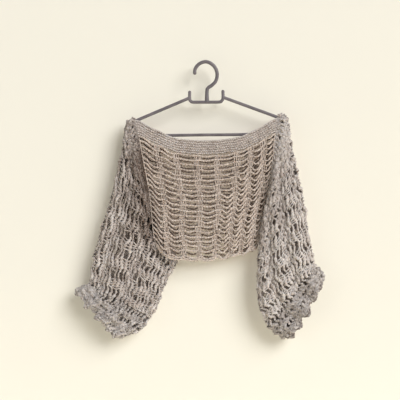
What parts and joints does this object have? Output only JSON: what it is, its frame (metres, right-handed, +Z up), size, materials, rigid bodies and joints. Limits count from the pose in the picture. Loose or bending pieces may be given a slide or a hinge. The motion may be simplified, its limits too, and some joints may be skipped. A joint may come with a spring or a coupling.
{
  "type": "crochet blouse on a coat hanger",
  "caption": "Open crochet blouse with a wide boat neck, bell sleeves and ruffled cuffs, hanging on a slim tubular coat hanger.",
  "frame": {"origin": "Under the crown of the hanger's hook, where it rests on a rod or a nail.", "axes": "+Z up, +X to the viewer's right, and the front of the blouse faces -Y."},
  "size_m": [0.705, 0.0869, 0.7967],
  "materials": {
    "front_yarn": "dull cotton yarn, open crochet net",
    "back_yarn": "dull cotton yarn, open crochet net",
    "band_yarn": "dull cotton yarn, close crochet",
    "sleeve_yarn": "dull cotton yarn, open crochet net",
    "cuff_yarn": "dull cotton yarn, close crochet",
    "hanger_plastic": "smooth violet grey plastic, half matt"
  },
  "bodies": {
    "root": {"front": "front_yarn", "back": "back_yarn", "neck_band_front": "band_yarn", "neck_band_back": "band_yarn", "sleeve_left": "sleeve_yarn", "sleeve_right": "sleeve_yarn", "cuff_left": "cuff_yarn", "cuff_right": "cuff_yarn", "hanger_hook": "hanger_plastic", "hanger_yoke": "hanger_plastic", "hanger_arm_left": "hanger_plastic", "hanger_arm_right": "hanger_plastic", "hanger_bar": "hanger_plastic"}
  },
  "joints": []
}
